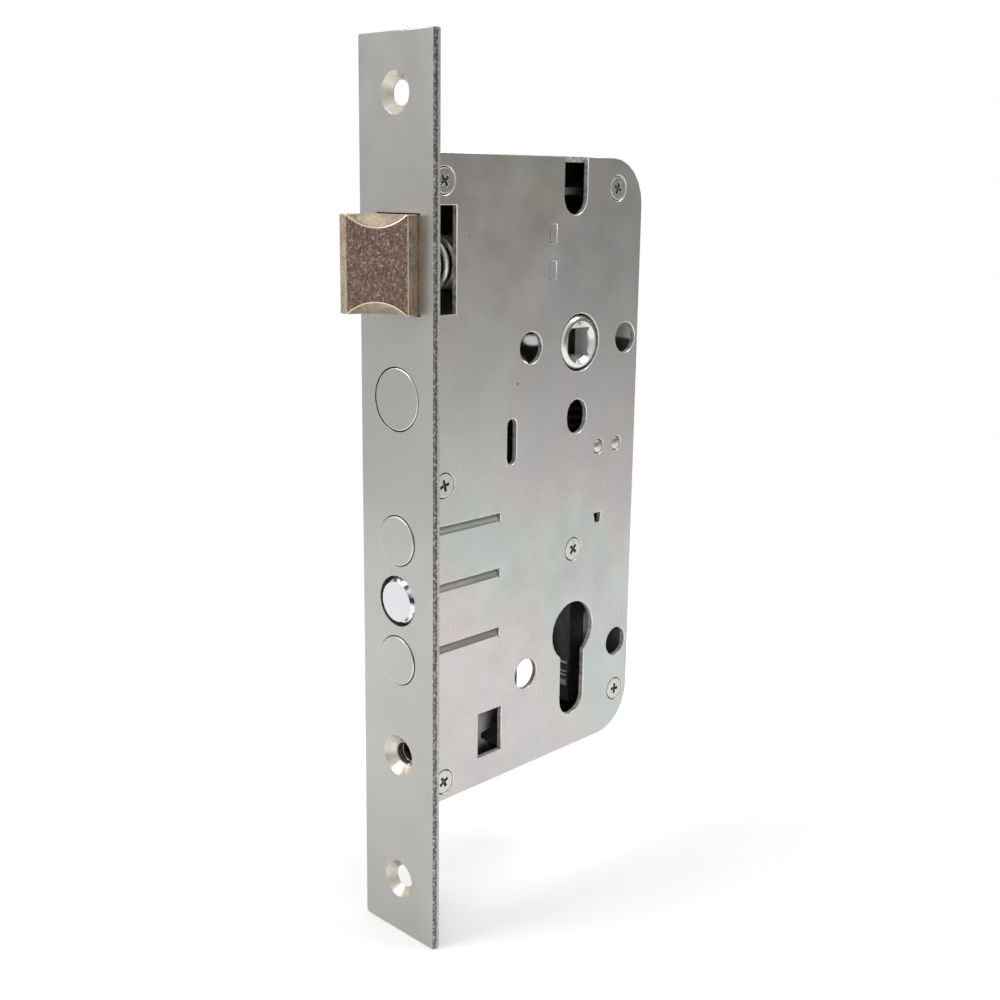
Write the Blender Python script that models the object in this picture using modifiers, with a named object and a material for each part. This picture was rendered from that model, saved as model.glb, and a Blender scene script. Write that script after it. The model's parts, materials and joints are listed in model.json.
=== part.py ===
"""Mortise lock: sprung latch, round follower and three-bolt throw in a screwed sheet-steel case.

Metres, +Z up. X is the door's thickness, Y runs from the forend's front face into the door.
The origin is the centre of the forend's front face.
"""
import bpy
import bmesh
from math import atan2, cos, degrees, hypot, pi, radians, sin
from mathutils import Matrix, Vector

MM = 0.001

# Every dimension below is in millimetres.
FOREND_W, FOREND_H, FOREND_T = 28.0, 240.0, 2.4
CASE_HALF = 9.5            # half the case's thickness
SHEET = 1.5                # case sheet
CASE_FRONT, CASE_BACK = 2.5, 85.7
CASE_TOP, CASE_BOTTOM = 91.6, -80.3
CORNER_R = 13.0            # rear corners
BACKSET = 60.0
HUB_Z = 40.9
CYL_Z = HUB_Z - 85.0       # centre of the cylinder's round part
FIX_HOLE_R = 4.4
LOW_FIX_Z = CYL_Z - 8.2
LATCH_Z = 64.3
LATCH_H = 24.5
LATCH_THROW = 12.2
BOLT_Z = (-7.4, -23.9, -40.4)
BOLT_R = 6.65
BOLT_HOLE_R = 6.9
BOLT_LEN = 30.0
DISC_Z, DISC_R = 30.0, 8.15
CYL_SCREW_Z = -67.7
FOREND_SCREW_Z = (105.6, -104.4)
SCREWS = ((7.8, 84.8), (74.8, 83.3), (8.1, 7.7), (59.3, -19.1), (80.2, -67.8), (8.1, -74.9))
POST_R = 3.2
GUIDE_Y = (47.0, 49.4)
TENON_Z = (71.2, 61.3)
SEAT_Y, SEAT_Z = (69.4, 77.3), 9.9    # the spring seat's two rivets
TUMBLER_PIN = (24.0, 10.8)
TAB_TOPS = (-3.1, -18.7, -35.7)
GAP = 0.05                 # between fixed pieces that touch

INNER = CASE_HALF - SHEET  # 8.0, the case's half thickness inside


# ---------------------------------------------------------------- scene and helpers

def fresh(name):
    col = bpy.data.collections.new(name)
    bpy.context.scene.collection.children.link(col)
    return col


for old in list(bpy.data.objects):
    bpy.data.objects.remove(old, do_unlink=True)
PART = fresh("mortise_lock")
CUTTERS = fresh("cutters")


def material(name, colour, rough, metal=1.0):
    mat = bpy.data.materials.new(name)
    mat.use_nodes = True
    shader = mat.node_tree.nodes["Principled BSDF"]
    shader.inputs["Base Color"].default_value = (*colour, 1.0)
    shader.inputs["Roughness"].default_value = rough
    shader.inputs["Metallic"].default_value = metal
    return mat


NICKEL = material("satin_nickel", (0.50, 0.48, 0.46), 0.38)
ZINC = material("zinc_plate", (0.52, 0.53, 0.52), 0.42)
BRONZE = material("yellow_zinc", (0.42, 0.32, 0.20), 0.40)
STEEL = material("bright_steel", (0.62, 0.62, 0.61), 0.22)
CHROME = material("chrome", (0.75, 0.75, 0.75), 0.08)
SPRING = material("spring_wire", (0.45, 0.44, 0.42), 0.30)
RAW = material("raw_steel", (0.30, 0.30, 0.30), 0.50)


# Each axis is a piece's own Z; its own X and Y are the next two axes in the order X, Y, Z, X, Y.
TURNS = {"X": Matrix(((0, 0, 1), (1, 0, 0), (0, 1, 0))),
         "Y": Matrix(((0, 1, 0), (0, 0, 1), (1, 0, 0))),
         "Z": Matrix.Identity(3)}


def place(axis, u, v, w):
    """The matrix that stands a shape on the axis. u and v are the other coordinates, in X, Y, Z order."""
    p = {"X": (w, u, v), "Y": (u, w, v), "Z": (u, v, w)}[axis]
    return Matrix.Translation(Vector(p) * MM) @ TURNS[axis].to_4x4()


def link(name, data, matrix):
    obj = bpy.data.objects.new(name, data)
    CUTTERS.objects.link(obj)
    obj.matrix_world = matrix
    return obj


def mesh_from(name, bm):
    mesh = bpy.data.meshes.new(name)
    bm.to_mesh(mesh)
    bm.free()
    mesh.shade_smooth()
    mesh.set_sharp_from_angle(angle=radians(35))
    return mesh


def slab(name, outline, axis, lo, hi):
    """A flat outline made solid from lo to hi along the axis."""
    curve = bpy.data.curves.new(name, "CURVE")
    curve.dimensions = "2D"
    curve.fill_mode = "BOTH"
    curve.extrude = (hi - lo) / 2 * MM
    spline = curve.splines.new("POLY")
    spline.points.add(len(outline) - 1)
    spline.use_cyclic_u = True
    for point, (u, v) in zip(spline.points, outline):
        u, v = (v, u) if axis == "Y" else (u, v)
        point.co = (u * MM, v * MM, 0, 1)
    flat = link(name, curve, place(axis, 0, 0, (lo + hi) / 2))
    bpy.context.view_layer.update()
    graph = bpy.context.evaluated_depsgraph_get()
    bm = bmesh.new()
    bm.from_mesh(bpy.data.meshes.new_from_object(flat.evaluated_get(graph)))
    bmesh.ops.remove_doubles(bm, verts=bm.verts, dist=0.000001)
    matrix = flat.matrix_world.copy()
    bpy.data.objects.remove(flat, do_unlink=True)
    return link(name, mesh_from(name, bm), matrix)


def turned(name, profile, axis, u, v, steps=28):
    """A turned shape. The profile's (radius, along) points run down its outside, from radius 0 to radius 0."""
    mesh = bpy.data.meshes.new(name)
    mesh.from_pydata([(r * MM, 0, w * MM) for r, w in profile],
                     [(i, i + 1) for i in range(len(profile) - 1)], [])
    obj = link(name, mesh, place(axis, u, v, 0))
    screw = obj.modifiers.new("turn", "SCREW")
    screw.steps = screw.render_steps = steps
    screw.use_merge_vertices = True
    screw.merge_threshold = 0.000001
    return obj


def rod(name, axis, u, v, r, lo, hi, steps=28):
    bm = bmesh.new()
    bmesh.ops.create_cone(bm, cap_ends=True, segments=steps, radius1=r * MM, radius2=r * MM,
                          depth=(hi - lo) * MM)
    return link(name, mesh_from(name, bm), place(axis, u, v, (lo + hi) / 2))


def box(name, x, y, z):
    bm = bmesh.new()
    size = Vector((x[1] - x[0], y[1] - y[0], z[1] - z[0])) * MM
    bmesh.ops.create_cube(bm, size=1, matrix=Matrix.Diagonal((*size, 1)))
    centre = Vector((x[0] + x[1], y[0] + y[1], z[0] + z[1])) * MM / 2
    return link(name, mesh_from(name, bm), Matrix.Translation(centre))


def rect(u, v):
    return [(u[0], v[0]), (u[1], v[0]), (u[1], v[1]), (u[0], v[1])]


def arc(u, v, r, start, end, n=6):
    """Points on an arc, angles in degrees, both ends included."""
    angles = (radians(start + (end - start) * i / n) for i in range(n + 1))
    return [(u + r * cos(a), v + r * sin(a)) for a in angles]


def obround(u, v, width, height, n=8):
    r, half = width / 2, (height - width) / 2
    return arc(u, v + half, r, 0, 180, n) + arc(u, v - half, r, 180, 360, n)


def tapered(c1, r1, c2, r2, n=8):
    """The outline of a link with one round end at c1 and one at c2."""
    d = hypot(c2[0] - c1[0], c2[1] - c1[1])
    along = degrees(atan2(c2[1] - c1[1], c2[0] - c1[0]))
    lean = 90 - degrees(atan2(r1 - r2, d))
    return (arc(*c1, r1, along + lean, along + 360 - lean, n + 4)
            + arc(*c2, r2, along - lean, along + lean, n))


def piece(obj, mat, mover=None):
    """Makes the shape a sub-part of the lock, carried by the mover if it has one."""
    CUTTERS.objects.unlink(obj)
    PART.objects.link(obj)
    obj.data.materials.append(mat)
    if mover:
        obj.parent = mover
        obj.matrix_parent_inverse = mover.matrix_world.inverted()
    return obj


def mover(name, y, z):
    """An empty on a joint's axis, in the lock's middle plane."""
    obj = bpy.data.objects.new(name, None)
    obj.empty_display_size = 0.01
    PART.objects.link(obj)
    obj.location = (0, y * MM, z * MM)
    bpy.context.view_layer.update()
    return obj


def combine(obj, tools, operation):
    group = bpy.data.collections.new(f"{obj.name}_{operation.lower()}_{len(obj.modifiers)}")
    CUTTERS.children.link(group)
    for tool in tools:
        CUTTERS.objects.unlink(tool)
        group.objects.link(tool)
        tool.hide_render = True
        tool.display_type = "WIRE"
    mod = obj.modifiers.new(operation.lower(), "BOOLEAN")
    mod.operation = operation
    mod.solver = "EXACT"
    mod.operand_type = "COLLECTION"
    mod.collection = group


def cut(obj, *tools):
    combine(obj, tools, "DIFFERENCE")


def join(obj, *tools):
    combine(obj, tools, "UNION")


def coil(name, axis, u, v, r, wire, lo, hi, turns, steps=12):
    """A coil spring of outer radius r along the axis, from lo to hi, its end turns closed."""
    curve = bpy.data.curves.new(name, "CURVE")
    curve.dimensions = "3D"
    curve.bevel_depth = wire / 2 * MM
    curve.bevel_resolution = 2
    curve.use_fill_caps = True
    spline = curve.splines.new("POLY")
    spline.points.add(turns * steps)
    first, last = lo + wire / 2, hi - wire / 2
    for i, point in enumerate(spline.points):
        q = i / steps
        if q < 1:
            rise = q * q / 2
        elif q < turns - 1:
            rise = q - 0.5
        else:
            rise = turns - 1 - (turns - q) ** 2 / 2
        across = (r - wire / 2) * MM
        along = (first + (last - first) * rise / (turns - 1)) * MM
        point.co = (across * cos(2 * pi * q), across * sin(2 * pi * q), along, 1)
    return piece(link(name, curve, place(axis, u, v, 0)), SPRING)


# ---------------------------------------------------------------- shared outlines

def case_outline(inset, front):
    """The case seen from the side, rear corners rounded, set in by inset on three sides."""
    top, bottom, back = CASE_TOP - inset, CASE_BOTTOM + inset, CASE_BACK - inset
    r = CORNER_R - inset
    return ([(front, bottom)] + arc(back - r, bottom + r, r, -90, 0)
            + arc(back - r, top - r, r, 0, 90) + [(front, top)])


def euro_outline():
    """The profile-cylinder hole: a round part with a slot below it."""
    r, half, bottom = 8.85, 5.15, CYL_Z - 26.0
    dip = atan2((r * r - half * half) ** 0.5, half) * 180 / pi
    return (arc(BACKSET, CYL_Z, r, -dip, 180 + dip, 20)
            + arc(BACKSET, bottom + half, half, 180, 360, 8))


def through_holes(lo, hi):
    """The holes that both case plates share."""
    holes = [rod("fixing", "X", y, z, FIX_HOLE_R, lo, hi, 24)
             for y in (BACKSET - 20, BACKSET + 20) for z in (HUB_Z, LOW_FIX_Z)]
    holes += [rod("rivet", "X", y, SEAT_Z, 2.15, lo, hi, 16) for y in SEAT_Y]
    holes += [box("tenon", (lo, hi), (GUIDE_Y[0] - 0.1, GUIDE_Y[1] + 0.1), (z - 2.4, z + 2.4))
              for z in TENON_Z]
    return holes + [rod("hub", "X", BACKSET, HUB_Z, 8.15, lo, hi, 32),
                    slab("obround", obround(BACKSET - 0.5, HUB_Z - 21.0, 8.3, 9.9), "X", lo, hi),
                    slab("euro", euro_outline(), "X", lo, hi)]


# ---------------------------------------------------------------- case

def forend():
    plate = piece(box("forend_plate", (-FOREND_W / 2, FOREND_W / 2), (0, FOREND_T),
                      (-FOREND_H / 2, FOREND_H / 2)), NICKEL)
    edge = plate.modifiers.new("edge", "BEVEL")
    edge.width = 0.3 * MM
    edge.segments = 1
    holes = []
    for z, rim in ((FOREND_SCREW_Z[0], 5.2), (FOREND_SCREW_Z[1], 5.4), (CYL_SCREW_Z, 5.7)):
        profile = ((0, 4), (3.1, 4), (3.1, rim - 3.1), (rim + 1, -1), (0, -1))
        holes.append(turned("countersink", profile, "Y", 0, z))
    holes += [rod("bolt", "Y", 0, z, BOLT_HOLE_R, -1, 4, 32) for z in BOLT_Z]
    cut(plate, *holes, rod("disc", "Y", 0, DISC_Z, DISC_R + 0.3, -1, 4, 36),
        box("latch", (-7.3, 9.1), (-1, 4), (LATCH_Z - 12.6, LATCH_Z + 12.6)))
    profile = ((0, 2.3), (DISC_R, 2.3), (DISC_R, 0.2), (DISC_R - 0.2, 0), (0, 0))
    piece(turned("forend_disc", profile, "Y", 0, DISC_Z, 32), NICKEL)


def tray():
    """The case's back plate with its top, bottom and rear walls and the flanges behind the forend."""
    shell = piece(slab("case_tray", case_outline(0, CASE_FRONT), "X", -CASE_HALF, INNER - GAP), ZINC)
    cut(shell, slab("inside", case_outline(SHEET, CASE_FRONT + SHEET), "X", -INNER, 12))
    lo, hi = -12, -INNER + 1
    cut(shell, *through_holes(lo, hi),
        *[rod("post", "X", y, z, 2.3, lo, hi, 16) for y, z in SCREWS],
        rod("pin", "X", *TUMBLER_PIN, 1.8, lo, hi, 12),
        box("latch", (-7.8, 12), (1, 5), (LATCH_Z - 13.2, LATCH_Z + 13.2)),
        box("bolts", (-7.8, 12), (1, 5), (-48.2, 0.3)),
        rod("cylinder_screw", "Y", 0, CYL_SCREW_Z, 3.1, 1, 5, 16))


def cover():
    """The screwed side plate, with the window, slots and the three pressed-in guide tabs."""
    slot_y, slot_z, slot_r = 57.0, 80.8, 4.75
    slot = ([(slot_y + slot_r, CASE_TOP)] + arc(slot_y, slot_z, slot_r, 0, -180, 10)
            + [(slot_y - slot_r, CASE_TOP)])
    window = [(CASE_FRONT, 78.9), (12.0, 78.9), (12.0, 51.7), (CASE_FRONT, 51.7)]
    outer = case_outline(0, CASE_FRONT)
    plate = piece(slab("case_cover", outer[:-1] + slot + outer[-1:] + window, "X", INNER, CASE_HALF), ZINC)
    lo, hi = INNER - 1, 12
    seat = ((0, 11), (3.55, 11), (3.55, 9.0), (2.0, 8.1), (2.0, 5), (0, 5))
    cut(plate, *through_holes(lo, hi),
        *[turned("countersink", seat, "X", y, z, 20) for y, z in SCREWS],
        *[box("tab", (lo, hi), (1, 28.9), (z - 3.0, z)) for z in TAB_TOPS],
        slab("slot", obround(33.0, 16.0, 3.6, 12.7, 6), "X", lo, hi),
        slab("notch", [(68.1, -10.0), (71.5, -10.0), (70.9, -13.0), (68.8, -13.0)], "X", lo, hi),
        box("window", (lo, hi), (21.0, 30.2), (-72.2, -59.2)))
    tabs = []
    for z in TAB_TOPS:
        section = [(CASE_HALF, z - 4.0), (CASE_HALF, z - 3.0), (9.36, z - 2.3), (9.0, z - 1.6), (8.45, z - 0.85),
                   (7.85, z - 0.1), (6.45, z - 0.1), (8.08, z - 3.1), (8.08, z - 4.0)]
        tabs.append(slab("tab", section, "Y", CASE_FRONT + 0.1, 28.6))
    join(plate, *tabs)


def screws_and_posts():
    arm, half = 1.65, 0.45
    cross = [(half, half), (arm, half), (arm, -half), (half, -half), (half, -arm), (-half, -arm),
             (-half, -half), (-arm, -half), (-arm, half), (-half, half), (-half, arm), (half, arm)]
    for i, (y, z) in enumerate(SCREWS, 1):
        profile = ((0, 0), (1.6, 0), (1.6, 7.9), (POST_R, 7.9), (POST_R, -7.8), (2.0, -7.8), (2.0, -9.4),
                   (0, -9.4))
        piece(turned(f"post_{i}", profile, "X", y, z, 16), STEEL)
        profile = ((0, 9.5), (3.1, 9.5), (3.2, 9.4), (3.2, 9.15), (1.4, 8.15), (1.4, 1), (0, 1))
        screw = piece(turned(f"cover_screw_{i}", profile, "X", y, z, 20), STEEL)
        c, s = cos(radians(35 * i)), sin(radians(35 * i))
        spun = [(y + u * c - v * s, z + u * s + v * c) for u, v in cross]
        cut(screw, slab("recess", spun, "X", 8.5, 11))


def fixed_inner_parts():
    # the plate that guides the latch stem, its four tenons staked in the case plates
    guide = piece(box("latch_guide", (-INNER + 0.2, INNER - 0.2), GUIDE_Y, (54.5, 75.5)), ZINC)
    join(guide, *[box("tenon", (-CASE_HALF, CASE_HALF), (GUIDE_Y[0] + 0.1, GUIDE_Y[1] - 0.1),
                      (z - 2.2, z + 2.2)) for z in TENON_Z])
    cut(guide, box("stem", (-2.3, 2.3), (45, 55), (LATCH_Z - 3.3, LATCH_Z + 3.3)))

    # the stay seen through the slot in the case's top edge
    stay = [(-7.8, 45.3), (5, 45.3), (5, 69.9), (-7.8, 69.9), (-7.8, 67), (2.4, 67), (2.4, 48.3), (-7.8, 48.3)]
    piece(slab("top_stay", stay, "Z", 81.3, 83.5), RAW)

    # the block that carries the follower's spring, and its two rivets
    seat = piece(box("spring_seat", (-5, 5), (SEAT_Y[0] - 3.4, SEAT_Y[1] + 3.4),
                     (SEAT_Z - 3.4, SEAT_Z + 3.4)), RAW)
    cut(seat, *[rod("rivet", "X", y, SEAT_Z, 2.15, -7, 7, 16) for y in SEAT_Y])
    for i, y in enumerate(SEAT_Y, 1):
        profile = ((0, 9.9), (1.1, 9.75), (1.9, 9.3), (1.9, -9.3), (1.1, -9.75), (0, -9.9))
        piece(turned(f"seat_rivet_{i}", profile, "X", y, SEAT_Z, 20), STEEL)

    # the guide that keeps the cylinder's screw on line
    outline = ([(4.3, -60.6), (28.7, -61.1)] + arc(30.1, -64.1, 2.7, 80, -80, 6)
               + [(26.2, -67.4), (26.2, -68.9), (34.9, -74.4), (32.6, -78.1), (13, -78.1),
                  (13, -71.3), (4.3, -71.3)])
    guide = piece(slab("screw_guide", outline, "X", 3.7, 5.5), RAW)
    join(guide, box("foot", (-5, 5.2), (4.3, 5.7), (-71.2, -60.7)))
    cut(guide, rod("screw", "Y", 0, CYL_SCREW_Z, 2.9, 2, 8, 16))

    # the ribbed block that guards the space behind the cylinder
    block = piece(box("guard_block", (-INNER + GAP, 0), (69.6, 75.9), (-72.0, -37.5)), RAW)
    join(block, *[box("rib", (-INNER + GAP, -0.4), (69.0, 70), (z - tall, z))
                  for z, tall in ((-59.0, 0.7), (-62.0, 0.5), (-63.2, 0.5), (-65.0, 1.9))])

    profile = ((0, 6.2), (1.9, 6.2), (1.9, -7.8), (1.5, -7.8), (1.5, -9.4), (0, -9.4))
    piece(turned("tumbler_pin", profile, "X", *TUMBLER_PIN, 16), STEEL)


# ---------------------------------------------------------------- latch

def latch():
    """The bevelled head. Its wide front runs in the forend; the back clears the case plates."""
    slide = mover("latch_slide", 0, LATCH_Z)
    side, tip_in, flat, out = 8.65, -4.3, 3.5, -LATCH_THROW
    outline = [(-7.0, 2.6), (-7.0, out), (tip_in, out), (side, -flat), (side, -0.3), (7.6, -0.3), (7.6, 2.6)]
    head = slab("latch_bolt", outline, "Z", LATCH_Z - LATCH_H / 2, LATCH_Z + LATCH_H / 2)
    piece(head, BRONZE, slide)
    cut(head, box("socket", (-2.3, 2.3), (-3.3, 5), (LATCH_Z - 3.3, LATCH_Z + 3.3)))
    # shallow scoops in the top and bottom of the bevel, deepest at its face and running out behind it
    slope = atan2(out + flat, tip_in - side)
    away = Vector((-sin(slope), cos(slope), 0))
    radius, dip, lean, across = 12.3, 3.2, radians(32), 0.48
    scoops = []
    for up in (1, -1):
        scoop = rod("scoop", "Z", 0, 0, radius, -16, 16, 64)
        rim = Vector((tip_in + (side - tip_in) * across, out - (flat + out) * across,
                      LATCH_Z + up * (LATCH_H / 2 + radius / cos(lean) - dip)))
        tilt = away * cos(lean) - Vector((0, 0, up * sin(lean)))
        scoop.matrix_world = (Matrix.Translation(rim * MM)
                              @ tilt.to_track_quat("Z", "Y").to_matrix().to_4x4())
        scoops.append(scoop)
    cut(head, *scoops)

    low = LATCH_Z - 3
    lug = HUB_Z + 14.0
    outline = [(-3, low), (57.7, low), (57.7, lug), (60.2, lug), (60.2, low + 6), (-3, low + 6)]
    piece(slab("latch_stem", outline, "X", -2, 2), STEEL, slide)

    clip = piece(box("stem_clip", (-5, 5), (50.0, 51.4), (LATCH_Z - 4.0, LATCH_Z + 4.0)), STEEL, slide)
    cut(clip, box("stem", (-2.2, 2.2), (49, 53), (LATCH_Z - 3.2, LATCH_Z + 3.2)))

    coil("latch_spring", "Y", 0, LATCH_Z, 7.1, 1.4, 2.9, GUIDE_Y[0] - 0.3, 16)


# ---------------------------------------------------------------- follower

def follower():
    """The hub that the handle's square spindle turns, with one arm for the latch and one for its spring."""
    axis = mover("follower_axis", BACKSET, HUB_Z)
    y, z = BACKSET, HUB_Z
    profile = ((0, 9.9), (6.35, 9.9), (6.95, 9.6), (7.5, 9.0), (7.7, 8.4), (7.7, -8.4), (7.5, -9.0), (6.95, -9.6),
               (6.35, -9.9), (0, -9.9))
    hub = piece(turned("follower", profile, "X", y, z, 32), STEEL, axis)
    join(hub, rod("collar", "X", y, z, 10.0, -3.2, 3.2, 36))
    join(hub, slab("latch_arm", tapered((y, z), 4.0, (y - 5.4, z + 15.3), 2.2), "X", -2.4, 2.4))
    join(hub, slab("spring_arm", tapered((y, z), 5.6, (y + 12.8, z - 5), 2.5), "X", -2.8, 2.8))
    cone = ((0, 11), (7.0, 11), (4.9, 8.7), (0, 8.2))
    cut(hub, slab("square", rect((y - 4.05, y + 4.05), (z - 4.05, z + 4.05)), "X", -12, 12))
    cut(hub, turned("lead_in", cone, "X", y, z, 32),
        turned("lead_in", [(r, -w) for r, w in reversed(cone)], "X", y, z, 32))
    coil("follower_spring", "Z", 0, 71.0, 4.2, 1.1, SEAT_Z + 3.7, HUB_Z - 7.8, 8)


# ---------------------------------------------------------------- bolts

def bolts():
    slide = mover("bolt_slide", 0, BOLT_Z[1])
    back = BOLT_LEN + 3.2
    for name, z, front, lip, mat in (("bolt_upper", BOLT_Z[0], -0.4, 0.2, NICKEL),
                                     ("bolt_middle", BOLT_Z[1], -0.45, 1.25, CHROME),
                                     ("bolt_lower", BOLT_Z[2], -0.4, 0.2, NICKEL)):
        profile = ((0, back), (3.0, back), (3.0, BOLT_LEN), (BOLT_R, BOLT_LEN), (BOLT_R, front + lip),
                   (BOLT_R - lip, front), (0, front))
        piece(turned(name, profile, "Y", 0, z, 28), mat, slide)

    # the yoke behind the bolts, and the forked tail that runs past the post to the cylinder
    carriage = piece(box("bolt_carriage", (-5.8, 5.8), (BOLT_LEN + 0.3, back), (-47.5, -1.0)), ZINC, slide)
    post_y, post_z = SCREWS[3]
    low, high = post_z - 3.7, post_z + 3.7
    lower = [(31, low - 7.1), (50.5, low - 7.1), (50.5, low - 3.9), (57.5, low - 3.9), (57.5, low - 7.1),
             (60.5, low - 7.1), (60.5, low - 3.9), (67.5, low - 3.9), (67.5, low - 7.1), (76, low - 7.1),
             (80, low - 4.2), (80, low)]
    upper = ([(post_y - 3.6, low)] + arc(post_y, post_z, 3.7, -135, -225, 4)
             + [(post_y - 3.6, high), (80, high), (80, high + 3.9), (31, high + 3.9)])
    join(carriage, slab("tail", lower + upper, "X", -1.5, 1.5))
    cut(carriage, *[rod("tenon", "Y", 0, z, 3.3, 20, 40, 20) for z in BOLT_Z])


def tumbler():
    """The sprung lever that the key's cam lifts before it throws the bolts."""
    y, z = TUMBLER_PIN
    axis = mover("tumbler_axis", y, z)
    outline = [(18.0, 28.3), (18.0, 16.8), (19.4, 6.3), (43.5, 6.3), (43.5, -28.5), (48.5, -28.5),
               (48.5, 15.5), (26.5, 15.5), (21.8, 19.8), (21.8, 28.3)]
    lever = piece(slab("tumbler", outline, "X", 2.2, 4.2), RAW, axis)
    cut(lever, rod("pin", "X", y, z, 2.2, 0, 7, 16))
    coil("tumbler_spring", "Y", 3.2, 24.3, 2.2, 0.6, 4.3, 17.7, 6, 8)


forend()
tray()
cover()
screws_and_posts()
fixed_inner_parts()
latch()
follower()
bolts()
tumbler()
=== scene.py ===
"""Looks for the mortise lock: rounded edges, plated finishes, a soft studio and the camera."""
import json
from math import cos, pi, radians, sin

import bmesh
import bpy
from mathutils import Matrix, Vector

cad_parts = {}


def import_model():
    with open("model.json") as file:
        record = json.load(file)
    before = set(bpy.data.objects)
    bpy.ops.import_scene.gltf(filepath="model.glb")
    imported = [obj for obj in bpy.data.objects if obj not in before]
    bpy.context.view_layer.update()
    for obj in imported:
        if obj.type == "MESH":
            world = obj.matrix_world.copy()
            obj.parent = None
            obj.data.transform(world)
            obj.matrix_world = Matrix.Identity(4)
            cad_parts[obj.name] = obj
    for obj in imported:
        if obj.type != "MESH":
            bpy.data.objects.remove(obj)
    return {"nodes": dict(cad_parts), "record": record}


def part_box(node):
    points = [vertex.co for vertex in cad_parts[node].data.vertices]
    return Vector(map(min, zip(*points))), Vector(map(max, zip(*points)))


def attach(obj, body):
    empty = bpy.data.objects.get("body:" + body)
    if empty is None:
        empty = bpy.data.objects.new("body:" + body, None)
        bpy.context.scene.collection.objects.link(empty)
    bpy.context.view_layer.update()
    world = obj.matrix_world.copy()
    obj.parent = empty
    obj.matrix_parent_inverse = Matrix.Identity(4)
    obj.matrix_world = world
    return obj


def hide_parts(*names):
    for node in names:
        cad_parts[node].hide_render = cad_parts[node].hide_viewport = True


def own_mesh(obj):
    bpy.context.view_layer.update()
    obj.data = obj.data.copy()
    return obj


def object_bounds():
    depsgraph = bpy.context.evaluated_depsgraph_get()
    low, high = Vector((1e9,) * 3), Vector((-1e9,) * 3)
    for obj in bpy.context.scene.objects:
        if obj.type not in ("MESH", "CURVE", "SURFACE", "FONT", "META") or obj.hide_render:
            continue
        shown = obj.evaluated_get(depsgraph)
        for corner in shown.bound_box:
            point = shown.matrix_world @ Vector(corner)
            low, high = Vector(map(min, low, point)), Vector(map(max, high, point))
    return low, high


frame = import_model()
cad_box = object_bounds()

MM = 0.001
COVER_FRONT, COVER_BACK = 9.5, 8.0      # x of the cover's faces, in mm
HUB_Y, HUB_Z = 60.0, 40.9               # the follower's axis, in mm
HALF_SQUARE = 4.0                       # half the spindle's square, in mm
NODES = frame["nodes"]
BODY = {node: body for body, group in frame["record"]["behaviour"]["bodies"].items() for node in group}


# ---------------------------------------------------------------- materials

class Finish:
    """A node material, built a node at a time around its Principled shader."""

    def __init__(self, name, metallic=1.0, rough=0.4):
        self.mat = bpy.data.materials.new(name)
        self.mat.use_nodes = True
        self.tree = self.mat.node_tree
        self.shader = self.tree.nodes["Principled BSDF"]
        self.shader.inputs["Metallic"].default_value = metallic
        self.shader.inputs["Roughness"].default_value = rough
        self.coords = self.add("ShaderNodeTexCoord").outputs["Object"]

    def add(self, kind, **settings):
        node = self.tree.nodes.new(kind)
        for key, value in settings.items():
            setattr(node, key, value)
        return node

    def link(self, source, target):
        self.tree.links.new(source, target)

    def stretched(self, scale, turn=(0, 0, 0)):
        mapping = self.add("ShaderNodeMapping")
        mapping.inputs["Scale"].default_value = scale
        mapping.inputs["Rotation"].default_value = turn
        self.link(self.coords, mapping.inputs["Vector"])
        return mapping.outputs["Vector"]

    def noise(self, scale, detail=3.0, rough=0.55, vector=None, distortion=0.0):
        node = self.add("ShaderNodeTexNoise")
        node.inputs["Scale"].default_value = scale
        node.inputs["Detail"].default_value = detail
        node.inputs["Roughness"].default_value = rough
        node.inputs["Distortion"].default_value = distortion
        self.link(vector or self.coords, node.inputs["Vector"])
        return node.outputs["Fac"]

    def ramp(self, factor, *stops):
        node = self.add("ShaderNodeValToRGB")
        elements = node.color_ramp.elements
        while len(elements) < len(stops):
            elements.new(0.5)
        for element, (place, colour) in zip(elements, stops):
            element.position = place
            element.color = (*colour, 1) if isinstance(colour, tuple) else (colour, colour, colour, 1)
        self.link(factor, node.inputs["Fac"])
        return node.outputs["Color"]

    def mix(self, blend, factor, a, b):
        node = self.add("ShaderNodeMix", data_type="RGBA", blend_type=blend)
        for socket, value in ((node.inputs["Factor"], factor), (node.inputs[6], a), (node.inputs[7], b)):
            if isinstance(value, (int, float)):
                socket.default_value = value
            elif isinstance(value, tuple):
                socket.default_value = (*value, 1)
            else:
                self.link(value, socket)
        return node.outputs[2]

    def spread(self, factor, low, high, a=0.3, b=0.7):
        node = self.add("ShaderNodeMapRange")
        for key, value in (("From Min", a), ("From Max", b), ("To Min", low), ("To Max", high)):
            node.inputs[key].default_value = value
        self.link(factor, node.inputs["Value"])
        return node.outputs["Result"]

    def place(self, axis, low, high):
        """0 where the world coordinate along the axis is below low mm, 1 where it is above high mm."""
        split = self.add("ShaderNodeSeparateXYZ")
        self.link(self.coords, split.inputs[0])
        return self.spread(split.outputs[axis], 0.0, 1.0, low * MM, high * MM)

    def colour(self, source):
        self.link(source, self.shader.inputs["Base Color"])

    def roughness(self, source):
        self.link(source, self.shader.inputs["Roughness"])

    def bump(self, *layers):
        """Each layer is (height, strength, depth in mm)."""
        before = None
        for height, strength, depth in layers:
            node = self.add("ShaderNodeBump")
            node.inputs["Strength"].default_value = strength
            node.inputs["Distance"].default_value = depth * MM
            self.link(height, node.inputs["Height"])
            if before:
                self.link(before, node.inputs["Normal"])
            before = node.outputs["Normal"]
        self.link(before, self.shader.inputs["Normal"])


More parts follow.
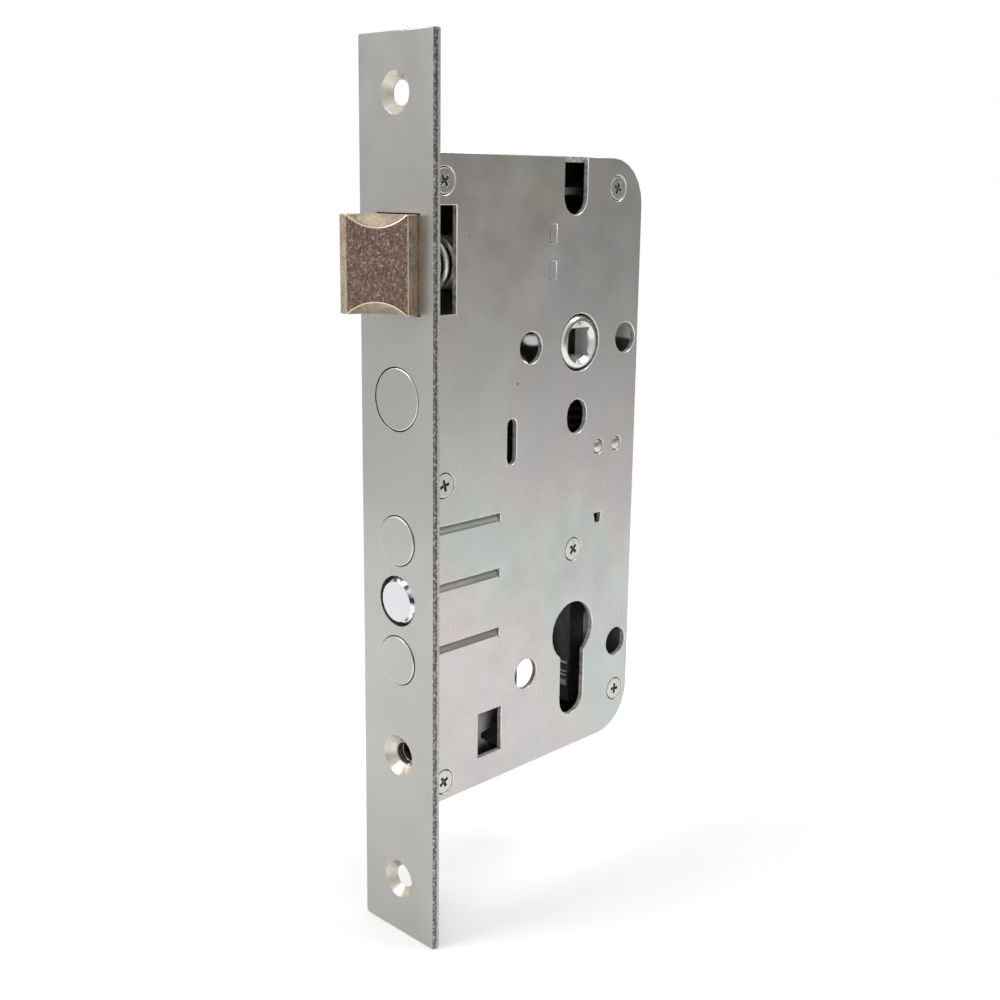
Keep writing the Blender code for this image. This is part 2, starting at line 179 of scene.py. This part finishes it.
def satin_nickel(name, dark, light, rough=0.36):
    f = Finish(name)
    cloud = f.noise(22, 2)
    grain = f.noise(2200, 2, 0.6)
    tone = f.ramp(cloud, (0.3, dark), (0.7, light))
    f.colour(f.mix("MULTIPLY", 0.5, tone, f.ramp(grain, (0.25, 0.78), (0.75, 1.0))))
    f.roughness(f.spread(f.noise(60, 4), rough - 0.05, rough + 0.07))
    f.bump((grain, 0.30, 0.02), (f.noise(700, 3), 0.2, 0.03))
    return f.mat


def sheared_nickel(name):
    """The forend's edge: torn and dark over its front half, smooth and pale over the back."""
    f = Finish(name, 0.6)
    speck = f.noise(1300, 4, 0.7)
    torn = f.ramp(speck, (0.36, (0.04, 0.04, 0.038)), (0.52, (0.14, 0.138, 0.132)),
                  (0.66, (0.55, 0.54, 0.52)))
    smooth = f.ramp(speck, (0.32, (0.34, 0.335, 0.33)), (0.6, (0.56, 0.55, 0.54)))
    f.colour(f.mix("MIX", f.place("Y", 1.05, 1.45), torn, smooth))
    f.roughness(f.spread(speck, 0.62, 0.38))
    f.bump((speck, 0.6, 0.08))
    return f.mat


def zinc(name):
    """Bright zinc plate with a faint passivated rainbow, rolling texture and a few specks."""
    f = Finish(name)
    drift = f.noise(17, 2, 0.45, f.stretched((1, 1, 0.75)), 0.6)
    rainbow = f.ramp(drift, (0.27, (0.64, 0.625, 0.63)), (0.38, (0.605, 0.655, 0.635)),
                     (0.47, (0.66, 0.65, 0.615)), (0.56, (0.68, 0.63, 0.64)),
                     (0.66, (0.615, 0.64, 0.655)), (0.76, (0.66, 0.65, 0.60)))
    cloud = f.ramp(f.noise(45, 3), (0.3, 0.90), (0.7, 1.0))
    base = f.mix("MULTIPLY", 1.0, rainbow, cloud)
    grain = f.noise(1500, 3, 0.65)
    base = f.mix("MULTIPLY", 0.45, base, f.ramp(grain, (0.3, 0.80), (0.7, 1.0)))
    specks = f.ramp(f.noise(330, 1, 0.4), (0.155, 0.35), (0.20, 1.0))
    f.colour(f.mix("MULTIPLY", 0.8, base, specks))
    f.roughness(f.spread(f.noise(80, 4), 0.30, 0.44))
    f.bump((grain, 0.22, 0.025), (f.noise(420, 3), 0.18, 0.05),
           (f.noise(900, 2, 0.5, f.stretched((1, 1, 0.05))), 0.06, 0.03))
    return f.mat


def brushed(name, dark, light, warm, stretch, rough=0.42):
    """Yellow zinc over a ground face: streaks along one direction, darker blotches, bright sparkle."""
    f = Finish(name)
    streak = f.noise(1.0, 4, 0.65, f.stretched(stretch))
    blotch = f.noise(170, 4, 0.6)
    tone = f.ramp(streak, (0.32, dark), (0.52, light), (0.72, warm))
    tone = f.mix("MULTIPLY", 0.75, tone, f.ramp(blotch, (0.3, 0.70), (0.62, 1.0)))
    sparkle = f.ramp(f.noise(1500, 3, 0.75), (0.53, 0.0), (0.68, 1.0))
    pits = f.ramp(f.noise(1300, 3, 0.75, f.stretched((1, 1, 0.8), (0, 0, 1))), (0.33, 0.45), (0.47, 1.0))
    tone = f.mix("MULTIPLY", 0.8, tone, pits)
    f.colour(f.mix("SCREEN", 0.32, tone, sparkle))
    f.roughness(f.spread(streak, rough - 0.08, rough + 0.10))
    f.bump((streak, 0.30, 0.03), (f.noise(1500, 3, 0.7), 0.5, 0.05))
    return f.mat


def plain_metal(name, dark, light, rough, scale=90.0, bump=0.1, metallic=1.0):
    f = Finish(name, metallic)
    f.colour(f.ramp(f.noise(scale, 4), (0.3, dark), (0.7, light)))
    f.roughness(f.spread(f.noise(scale * 3, 3), rough * 0.75, rough * 1.35))
    f.bump((f.noise(scale * 14, 2), bump, 0.03))
    return f.mat


def bored(name):
    """The hub's square: plain metal near each face, and black between them, a painted shade far inside the
    bore.
    """
    f = Finish(name, 0.45, 0.3)
    # painted shade: black between x = -4 and 4 mm, far inside the bore and away from its faces
    shaded_depth = f.mix("MULTIPLY", 1.0, f.place("X", 4.3, 4.0), f.place("X", -4.3, -4.0))
    wall_tone = f.ramp(f.noise(160, 3), (0.3, (0.50, 0.51, 0.50)), (0.7, (0.72, 0.73, 0.72)))
    f.colour(f.mix("MIX", shaded_depth, wall_tone, (0.015, 0.015, 0.014)))
    f.bump((f.noise(500, 3), 0.3, 0.05))
    return f.mat


def painted_reflection_edge(name):
    """A polished chamfer whose colour has dark patches among bright ones, a painted reflection of the dark
    slot around it.
    """
    f = Finish(name, 1.0, 0.1)
    # painted reflection: dark patches set among bright ones by noise
    f.colour(f.ramp(f.noise(230, 1), (0.42, 0.05), (0.49, (0.72, 0.73, 0.75)), (0.60, (0.78, 0.79, 0.81)),
                    (0.66, 0.12)))
    return f.mat


def tray_inside(name):
    """Dark all over as painted shade inside the case. The upper part of the rear wall shows its pale plate,
    made whiter and less metallic as painted light from a hole in the cover.
    """
    f = Finish(name, 0.4, 0.42)
    # painted light: the rear wall's upper part, above y 83.6 mm and z 39.8 mm
    lit_patch = f.mix("MULTIPLY", 1.0, f.place("Y", 83.6, 83.9), f.place("Z", 39.8, 40.5))
    blotch = f.noise(120, 4)
    # painted shade: the dark tone for the inside of the case
    shaded_tone = f.ramp(blotch, (0.3, (0.09, 0.09, 0.085)), (0.7, (0.17, 0.165, 0.155)))
    plain = f.ramp(blotch, (0.3, (0.78, 0.77, 0.70)), (0.7, (0.92, 0.91, 0.82)))
    f.colour(f.mix("MIX", lit_patch, shaded_tone, plain))
    f.link(f.spread(lit_patch, 0.4, 0.1, 0, 1), f.shader.inputs["Metallic"])
    f.roughness(f.spread(lit_patch, 0.42, 0.2, 0, 1))
    f.bump((f.noise(900, 3), 0.2, 0.03))
    return f.mat


NICKEL = satin_nickel("satin_nickel", (0.435, 0.426, 0.412), (0.495, 0.484, 0.468))
NICKEL_CUT = sheared_nickel("nickel_sheared_edge")
# painted highlight: a lighter copy of the satin nickel for the rounded edges
NICKEL_RIM_HIGHLIGHT = plain_metal("nickel_rim_highlight", (0.62, 0.61, 0.59), (0.78, 0.77, 0.75), 0.28)
SINK = plain_metal("countersink", (0.46, 0.42, 0.35), (0.66, 0.63, 0.56), 0.30, 160, 0.15)
ZINC = zinc("zinc_plate")
ZINC_CUT = plain_metal("zinc_sheared_edge", (0.20, 0.20, 0.195), (0.62, 0.62, 0.60), 0.5, 700, 0.4, 0.3)
# painted highlight: a lighter, less metallic copy of the zinc for the rounded edges
ZINC_RIM_HIGHLIGHT = plain_metal("zinc_rim_highlight", (0.78, 0.78, 0.76), (0.92, 0.92, 0.90), 0.30, 300, 0.1, 0.6)
LATCH_FACE = brushed("latch_bevel", (0.11, 0.070, 0.058), (0.225, 0.142, 0.114), (0.36, 0.25, 0.19),
                     (3400, 3400, 850))
LATCH_BODY = brushed("latch_body", (0.40, 0.31, 0.215), (0.54, 0.43, 0.315), (0.66, 0.54, 0.40),
                     (900, 900, 300), 0.36)
# painted highlight: a lighter copy of the latch's yellow zinc for its rounded edges
LATCH_RIM_HIGHLIGHT = plain_metal("latch_rim_highlight", (0.70, 0.56, 0.38), (0.85, 0.72, 0.52), 0.28, 300)
CHROME = plain_metal("chrome", (0.56, 0.57, 0.60), (0.60, 0.61, 0.635), 0.06, 60, 0.02)
# painted reflection on the middle bolt's chamfer
CHROME_EDGE_REFLECTION = painted_reflection_edge("chrome_edge_painted_reflection")
# the follower's polished nickel; on the plain steel parts' rounded edges it is a painted highlight
POLISHED_AND_RIM_HIGHLIGHT = plain_metal("polished_nickel_and_rim_highlight", (0.66, 0.66, 0.65), (0.76, 0.76, 0.74), 0.16, 150, 0.05)
SCREW = plain_metal("screw_zinc", (0.56, 0.555, 0.52), (0.68, 0.67, 0.63), 0.30, 250, 0.08)
# painted shade: the dark cross recess in the screws' heads
RECESS = plain_metal("recess", (0.10, 0.10, 0.095), (0.22, 0.21, 0.20), 0.5, 500, 0.3)
WIRE = plain_metal("spring_wire", (0.86, 0.83, 0.77), (0.97, 0.95, 0.90), 0.33, 500, 0.08, 0.7)
BORE = bored("square_bore")
TRAY_INSIDE = tray_inside("tray_inside")
RAW = plain_metal("plain_steel", (0.22, 0.22, 0.215), (0.36, 0.355, 0.34), 0.42, 120, 0.25)
# painted shade: the cover's back, inside the case
DARK = plain_metal("painted_shade_steel", (0.10, 0.10, 0.098), (0.19, 0.185, 0.18), 0.40, 120, 0.25)
SOOT = plain_metal("blackened_steel", (0.012, 0.013, 0.012), (0.03, 0.032, 0.03), 0.6, 200, 0.2, 0.0)
LEDGE = plain_metal("ledge", (0.20, 0.23, 0.215), (0.34, 0.38, 0.36), 0.4, 200, 0.2, 0.4)


# ---------------------------------------------------------------- pieces

def add_piece(name, mesh, node):
    """A piece that stands for a CAD node and rides with it."""
    obj = bpy.data.objects.new(name, mesh)
    bpy.context.scene.collection.objects.link(obj)
    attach(obj, BODY[node])
    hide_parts(node)
    return obj


def unfold(mesh):
    """Where a wide rim has pushed a corner across a long edge, the faces there are joined and split anew."""
    bm = bmesh.new()
    bm.from_mesh(mesh)
    bm.normal_update()
    folded = [face for face in bm.faces
              if all(face.normal.dot(other.normal) < -0.97
                     for edge in face.edges for other in edge.link_faces if other is not face)]
    for face in folded:
        longest = max(face.edges, key=lambda edge: edge.calc_length())
        joined = bmesh.utils.face_join(list(longest.link_faces))
        bmesh.ops.triangulate(bm, faces=[joined])
    bm.to_mesh(mesh)
    bm.free()


def edged(node, surface, rim, width, choose=None, extra=(), angle=40, segments=2, plate=False,
          front=None):
    """The CAD node with its edges rounded off by width mm. choose(centre, normal) gives a face's
    material number: 0 is the surface, 1 the rounded rims, and 2 on are the extra materials. Most rim
    materials are lighter than their surface, a painted highlight along the edges. A plate's flat sides
    are shaded dead flat. With a front (its x in mm), only the edges on that face are rounded, at the
    full width."""
    bm = bmesh.new()
    bm.from_mesh(NODES[node].data)
    bmesh.ops.remove_doubles(bm, verts=bm.verts, dist=0.000002)
    for vert in bm.verts:
        vert.co = [round(c, 6) for c in vert.co]
    bmesh.ops.dissolve_limit(bm, angle_limit=radians(0.6), verts=bm.verts, edges=bm.edges)
    bm.normal_update()
    for face in bm.faces:
        face.material_index = choose(face.calc_center_median() / MM, face.normal) if choose else 0
        face.smooth = True
    if front:
        weight = bm.edges.layers.float.new("bevel_weight_edge")
        for edge in bm.edges:
            on_front = all(abs(vert.co.x / MM - front) < 0.01 for vert in edge.verts)
            edge[weight] = 1.0 if on_front and edge.calc_face_angle() > radians(angle) else 0.0
    mesh = bpy.data.meshes.new(f"{node}_finished")
    bm.to_mesh(mesh)
    bm.free()
    mesh.materials.append(surface)
    mesh.materials.append(rim)
    for mat in extra:
        mesh.materials.append(mat)
    mesh.set_sharp_from_angle(angle=radians(angle))
    shape = bpy.data.objects.new("shape", mesh)
    bpy.context.scene.collection.objects.link(shape)
    bevel = shape.modifiers.new("bevel", "BEVEL")
    bevel.width = width * MM
    bevel.segments = segments
    bevel.limit_method = "WEIGHT" if front else "ANGLE"
    bevel.angle_limit = radians(angle)
    bevel.material = 1
    bevel.use_clamp_overlap = not front
    flat = shape.modifiers.new("flat", "DECIMATE")
    flat.decimate_type = "DISSOLVE"
    flat.angle_limit = radians(0.4)
    flat.delimit = {"MATERIAL"}
    even = shape.modifiers.new("even", "TRIANGULATE")
    even.ngon_method = "BEAUTY"
    even.min_vertices = 5
    shape.modifiers.new("normals", "WEIGHTED_NORMAL").keep_sharp = True
    bpy.context.view_layer.update()
    graph = bpy.context.evaluated_depsgraph_get()
    final = bpy.data.meshes.new_from_object(shape.evaluated_get(graph))
    final.name = f"{node}_finished"
    if plate:
        unfold(final)
        normals = [corner.vector.copy() for corner in final.corner_normals]
        for face in final.polygons:
            if abs(face.normal.x) > 0.97:
                for corner in face.loop_indices:
                    normals[corner] = Vector((1 if face.normal.x > 0 else -1, 0, 0))
        final.normals_split_custom_set(normals)
    bpy.data.objects.remove(shape, do_unlink=True)
    return add_piece(f"{node}_finished", final, node)


def spring(node, axis, wire, turns, surface, steps=28):
    """A round-wire coil with closed ends in the CAD spring's box."""
    low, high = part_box(node)
    centre = (low + high) / 2
    along, right, up = {"Y": (Vector((0, 1, 0)), Vector((0, 0, 1)), Vector((1, 0, 0))),
                        "Z": (Vector((0, 0, 1)), Vector((1, 0, 0)), Vector((0, 1, 0)))}[axis]
    radius = min(abs((high - low).dot(right)), abs((high - low).dot(up))) / 2 - wire * MM / 2
    first, last = low.dot(along) + wire * MM / 2, high.dot(along) - wire * MM / 2
    curve = bpy.data.curves.new(node, "CURVE")
    curve.dimensions = "3D"
    curve.bevel_depth = wire / 2 * MM
    curve.bevel_resolution = 4
    curve.use_fill_caps = True
    line = curve.splines.new("POLY")
    line.points.add(turns * steps)
    for i, point in enumerate(line.points):
        q = i / steps
        if q < 1:
            rise = q * q / 2
        elif q < turns - 1:
            rise = q - 0.5
        else:
            rise = turns - 1 - (turns - q) ** 2 / 2
        place = (centre - along * centre.dot(along) + along * (first + (last - first) * rise / (turns - 1))
                 + right * radius * cos(2 * pi * q) + up * radius * sin(2 * pi * q))
        point.co = (*place, 1)
    shape = bpy.data.objects.new("coil", curve)
    bpy.context.scene.collection.objects.link(shape)
    bpy.context.view_layer.update()
    mesh = bpy.data.meshes.new_from_object(shape.evaluated_get(bpy.context.evaluated_depsgraph_get()))
    bpy.data.objects.remove(shape, do_unlink=True)
    mesh.name = f"{node}_wire"
    mesh.shade_smooth()
    mesh.materials.append(surface)
    obj = add_piece(f"{node}_wire", mesh, node)
    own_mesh(obj)
    return obj


def forend_faces(centre, normal):
    """3 is the countersinks, 2 the sheared edges and the openings."""
    if abs(normal.y) > 0.92:
        return 0
    return 3 if 0.3 < abs(normal.y) and abs(centre.x) < 12 else 2


def cover_faces(centre, normal):
    """3 is the back, painted dark as shade inside the case, 2 the sheared edges."""
    if normal.x < -0.9 and centre.x < COVER_BACK + 0.2:
        return 3
    return 2 if abs(normal.x) < 0.4 and COVER_BACK < centre.x < COVER_FRONT else 0


def tray_faces(node):
    """2 is the inside of the tray, painted dark as shade, 3 the cut edges of its walls."""
    low, high = (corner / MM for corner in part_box(node))
    corner_radius = 13

    def choose(centre, normal):
        if normal.x > 0.9 and centre.x > high.x - 0.1:
            return 3
        depth = min(centre.x - low.x, high.y - centre.y, centre.z - low.z, high.z - centre.z)
        outer_corner = False
        for z, out in ((high.z - corner_radius, 1), (low.z + corner_radius, -1)):
            dy, dz = centre.y - (high.y - corner_radius), (centre.z - z) * out
            outer_corner |= dy > 0 and dz > 0 and (dy * dy + dz * dz) ** 0.5 > corner_radius - 0.6
        flange = normal.y < -0.9 and centre.y < 10
        return 0 if depth < 0.6 or outer_corner or flange else 2

    return choose


def latch_faces(centre, normal):
    """2 is the bevel."""
    return 2 if normal.x > 0.3 and normal.y < -0.3 and abs(normal.z) < 0.1 else 0


def screw_faces(node):
    """2 is the recess in a screw's head, painted dark as shade."""
    low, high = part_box(node)
    middle = (low + high) / 2 / MM

    def choose(centre, normal):
        away = ((centre.y - middle.y) ** 2 + (centre.z - middle.z) ** 2) ** 0.5
        return 2 if away < 1.9 and centre.x > 8.2 and (normal.x < 0.5 or centre.x < 9.3) else 0

    return choose


def hub_faces(centre, normal):
    """2 is the square bore."""
    reach = HALF_SQUARE + 0.3
    inside = abs(centre.y - HUB_Y) < reach and abs(centre.z - HUB_Z) < reach
    return 2 if abs(normal.x) < 0.35 and inside else 0


def bolt_faces(centre, normal):
    """The chamfer of the chromed bolt's end, which carries the painted reflection."""
    return 2 if -0.95 < normal.y < -0.2 else 0


def rib_faces(centre, normal):
    """2 is the part of the guard block that its ribs reach to."""
    return 2 if centre.y < 69.5 else 0


edged("forend_plate", NICKEL, NICKEL_RIM_HIGHLIGHT, 0.12, forend_faces, (NICKEL_CUT, SINK))
edged("forend_disc", NICKEL, NICKEL_RIM_HIGHLIGHT, 0.10)
edged("case_cover", ZINC, ZINC_RIM_HIGHLIGHT, 0.2, cover_faces, (ZINC_CUT, DARK), plate=True, front=COVER_FRONT)
edged("case_tray", ZINC, ZINC_RIM_HIGHLIGHT, 0.12, tray_faces("case_tray"), (TRAY_INSIDE, ZINC_CUT), plate=True)
edged("latch_bolt", LATCH_BODY, LATCH_RIM_HIGHLIGHT, 0.22, latch_faces, (LATCH_FACE,), segments=3)
edged("follower", POLISHED_AND_RIM_HIGHLIGHT, ZINC_RIM_HIGHLIGHT, 0.12, hub_faces, (BORE,), segments=3)
edged("guard_block", SOOT, SOOT, 0.05, rib_faces, (LEDGE,))
for name in ("bolt_upper", "bolt_lower"):
    edged(name, NICKEL, NICKEL_RIM_HIGHLIGHT, 0.10)
edged("bolt_middle", CHROME, CHROME, 0.10, bolt_faces, (CHROME_EDGE_REFLECTION,))
for i in range(1, 7):
    edged(f"cover_screw_{i}", SCREW, ZINC_RIM_HIGHLIGHT, 0.09, screw_faces(f"cover_screw_{i}"), (RECESS,))
    edged(f"post_{i}", RAW, RAW, 0.10)
for name in ("seat_rivet_1", "seat_rivet_2"):
    edged(name, SCREW, SCREW, 0.15, angle=20)
for name in ("latch_guide", "bolt_carriage"):
    edged(name, ZINC, ZINC_RIM_HIGHLIGHT, 0.12)
# plain steel parts; their rounded edges get the polished nickel as a painted highlight
for name in ("top_stay", "spring_seat", "screw_guide", "tumbler", "stem_clip", "latch_stem", "tumbler_pin"):
    edged(name, RAW, POLISHED_AND_RIM_HIGHLIGHT, 0.12)

spring("latch_spring", "Y", 1.4, 16, WIRE)
spring("follower_spring", "Z", 1.1, 8, SOOT)
spring("tumbler_spring", "Y", 0.6, 6, WIRE)


# ---------------------------------------------------------------- studio

def camera():
    place = Vector((249.83, -218.33, 84.27)) * MM
    yaw, pitch, roll = radians(44.24), radians(12.339), radians(0.70)
    ahead = Vector((-sin(yaw) * cos(pitch), cos(yaw) * cos(pitch), -sin(pitch)))
    right = Vector((cos(yaw), sin(yaw), 0))
    up = right.cross(ahead)
    right, up = right * cos(roll) + up * sin(roll), up * cos(roll) - right * sin(roll)
    data = bpy.data.cameras.new("camera")
    data.sensor_width = 36
    data.lens = 47.18
    data.shift_y = -0.03
    data.clip_start = 0.01
    obj = bpy.data.objects.new("camera", data)
    bpy.context.scene.collection.objects.link(obj)
    turn = Matrix((right, up, -ahead)).transposed().to_4x4()
    obj.matrix_world = Matrix.Translation(place) @ turn
    bpy.context.scene.camera = obj


def softbox(name, place, target, size, power, colour=(1, 1, 1)):
    data = bpy.data.lights.new(name, "AREA")
    data.shape = "RECTANGLE"
    data.size, data.size_y = size
    data.energy = power
    data.color = colour
    obj = bpy.data.objects.new(name, data)
    bpy.context.scene.collection.objects.link(obj)
    obj.location = place
    obj.rotation_euler = (Vector(target) - Vector(place)).to_track_quat("-Z", "Y").to_euler()


def tone_ramp(tree, source, stops):
    ramp = tree.nodes.new("ShaderNodeValToRGB")
    elements = ramp.color_ramp.elements
    while len(elements) < len(stops):
        elements.new(0.5)
    for element, (height, grey) in zip(elements, stops):
        element.position = (height + 1) / 2
        element.color = (*(grey if isinstance(grey, tuple) else (grey, grey, grey)), 1)
    tree.links.new(source, ramp.inputs["Fac"])
    return ramp.outputs["Color"]


def world():
    """White behind the object. The room it mirrors is pale above, below and on the left, and has a dark
    wall on the right, where the case's cover looks."""
    sky = bpy.data.worlds.new("studio")
    bpy.context.scene.world = sky
    sky.use_nodes = True
    tree = sky.node_tree
    out = tree.nodes["World Output"]
    room, back = tree.nodes["Background"], tree.nodes.new("ShaderNodeBackground")
    coords = tree.nodes.new("ShaderNodeTexCoord").outputs["Generated"]
    split = tree.nodes.new("ShaderNodeSeparateXYZ")
    tree.links.new(coords, split.inputs[0])
    height = tree.nodes.new("ShaderNodeMapRange")
    height.inputs["From Min"].default_value = -1
    tree.links.new(split.outputs["Z"], height.inputs["Value"])
    side = tree.nodes.new("ShaderNodeVectorMath")
    side.operation = "DOT_PRODUCT"
    side.inputs[1].default_value = (0.70, 0.70, 0)
    tree.links.new(coords, side.inputs[0])
    rightness = tree.nodes.new("ShaderNodeMapRange")
    rightness.inputs["From Min"].default_value = 0.05
    rightness.inputs["From Max"].default_value = 0.55
    tree.links.new(side.outputs["Value"], rightness.inputs["Value"])
    left = tone_ramp(tree, height.outputs["Result"],
                     ((-1, 0.88), (-0.15, 0.80), (0.0, 0.74), (0.25, 0.70), (0.6, 0.9), (1, 1.0)))
    right = tone_ramp(tree, height.outputs["Result"],
                      ((-1, (0.90, 0.97, 0.97)), (-0.24, (0.88, 0.94, 0.94)), (-0.12, (0.38, 0.355, 0.32)),
                       (0.05, (0.215, 0.200, 0.170)), (0.55, (0.26, 0.25, 0.23)), (0.8, 0.9), (1, 1.0)))
    blend = tree.nodes.new("ShaderNodeMix")
    blend.data_type = "RGBA"
    tree.links.new(rightness.outputs["Result"], blend.inputs["Factor"])
    tree.links.new(left, blend.inputs[6])
    tree.links.new(right, blend.inputs[7])
    tree.links.new(blend.outputs[2], room.inputs["Color"])
    back.inputs["Color"].default_value = (1, 1, 1, 1)
    path = tree.nodes.new("ShaderNodeLightPath")
    mix = tree.nodes.new("ShaderNodeMixShader")
    tree.links.new(path.outputs["Is Camera Ray"], mix.inputs["Fac"])
    tree.links.new(room.outputs[0], mix.inputs[1])
    tree.links.new(back.outputs[0], mix.inputs[2])
    tree.links.new(mix.outputs[0], out.inputs["Surface"])


def floor():
    bm = bmesh.new()
    bmesh.ops.create_circle(bm, cap_ends=True, segments=96, radius=0.5)
    mesh = bpy.data.meshes.new("floor")
    bm.to_mesh(mesh)
    bm.free()
    obj = bpy.data.objects.new("floor", mesh)
    bpy.context.scene.collection.objects.link(obj)
    obj.location = (0, 0.03, cad_box[0][2] - 0.0002)
    f = Finish("floor", 0.0, 0.8)
    f.colour(f.ramp(f.noise(30, 2), (0.3, 0.97), (0.7, 0.985)))
    mesh.materials.append(f.mat)


camera()
world()
floor()
softbox("key", (-0.45, -0.75, 0.75), (0, 0.02, 0), (0.7, 0.7), 6.5)
softbox("fill", (0.35, 0.45, 0.9), (0, 0.04, 0), (0.5, 0.5), 3.4)
bpy.context.scene.view_settings.view_transform = "Standard"
